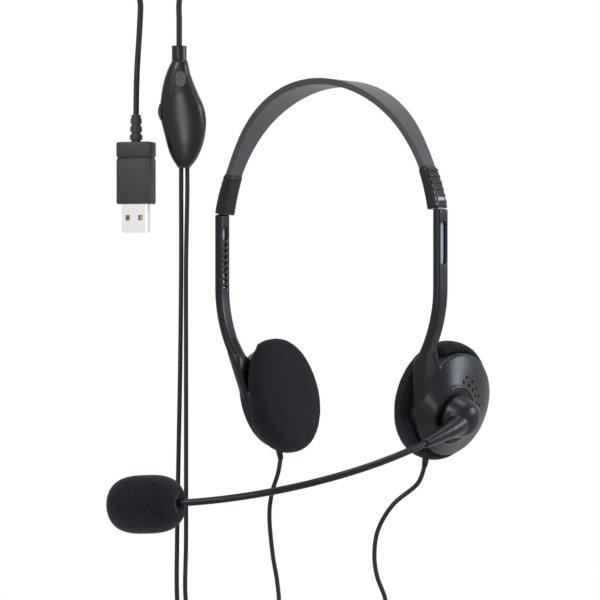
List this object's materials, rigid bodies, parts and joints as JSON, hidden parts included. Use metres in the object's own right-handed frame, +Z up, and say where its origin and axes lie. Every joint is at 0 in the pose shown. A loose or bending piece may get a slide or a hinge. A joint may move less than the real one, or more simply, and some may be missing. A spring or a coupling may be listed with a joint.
{
  "type": "office headset",
  "caption": "Corded on-ear office headset with sliding ear cups, a swinging foam-tipped microphone boom, an in-line control and a USB plug.",
  "frame": {"origin": "midway between the middles of the two ear pads, on the line through the wearer's ears", "axes": "+X is the wearer's left, -Y is forward and +Z is up"},
  "size_m": [0.141, 0.1636, 0.346],
  "materials": {
    "cup_plastic": "satin black",
    "band_plastic": "dark grey satin",
    "foam": "open foam, matte",
    "steel": "spring steel",
    "cord": "fine ribbed sheath",
    "control_plastic": "dark grey satin",
    "plug_plastic": "grey matte",
    "nickel": "bright nickel",
    "insert_plastic": "white",
    "gold": "gold plated",
    "board": "green laminate",
    "film": "thin film"
  },
  "bodies": {
    "band": {"left_band_end": "cup_plastic", "left_tongue": "steel", "left_detent_spring": "steel", "right_band_end": "cup_plastic", "right_tongue": "steel", "right_detent_spring": "steel", "headband": "band_plastic", "control_front": "control_plastic", "control_back": "control_plastic", "control_board": "board", "control_screws": "steel", "control_collar": "control_plastic", "volume_pot": "film", "mute_switch": "film", "main_cord": "cord", "cord_coil": "cord", "cord_tie": "cord", "plug_cord": "cord", "plug_body": "plug_plastic", "plug_strain_relief": "plug_plastic", "usb_shell": "nickel", "usb_insert": "insert_plastic", "usb_contacts": "gold"},
    "left_cup": {"left_cup_shell": "cup_plastic", "left_baffle": "cup_plastic", "left_driver_frame": "cup_plastic", "left_magnet": "steel", "left_diaphragm": "film", "left_damping_disc": "foam", "left_baffle_screws": "steel", "left_ear_pad": "foam", "left_cord_grommet": "cord", "left_ear_cord": "cord"},
    "right_cup": {"right_cup_shell": "cup_plastic", "right_baffle": "cup_plastic", "right_driver_frame": "cup_plastic", "right_magnet": "steel", "right_diaphragm": "film", "right_damping_disc": "foam", "right_baffle_screws": "steel", "right_ear_pad": "foam", "right_cord_grommet": "cord", "right_ear_cord": "cord"},
    "boom": {"boom_hub": "cup_plastic", "boom_washer": "steel", "boom_retainer": "steel", "boom_sleeve": "cup_plastic", "boom_tube": "cord", "mic_housing": "cup_plastic", "mic_capsule": "steel", "mic_windscreen": "foam"},
    "volume_wheel_body": {"volume_wheel": "control_plastic"},
    "mute_knob_body": {"mute_knob": "control_plastic"}
  },
  "joints": [
    {"name": "left_slide", "type": "slide", "parent": "band", "child": "left_cup", "axis": [0, 0, -1], "range_m": [0, 0.0224]},
    {"name": "right_slide", "type": "slide", "parent": "band", "child": "right_cup", "axis": [0, 0, -1], "range_m": [0, 0.0224]},
    {"name": "boom_swing", "type": "hinge", "parent": "left_cup", "child": "boom", "pos_m": [0.05846, -0.00858, -0.00611], "axis": [0.9719, -0.1107, -0.2079], "range_deg": [-60, 20]},
    {"name": "volume_turn", "type": "hinge", "parent": "band", "child": "volume_wheel_body", "pos_m": [-0.04761, -0.07399, 0.128], "axis": [-0.6157, 0.788, 0], "range_deg": [-140, 140]},
    {"name": "mute_travel", "type": "slide", "parent": "band", "child": "mute_knob_body", "axis": [0, 0, -1], "range_m": [0, 0.0028]}
  ]
}
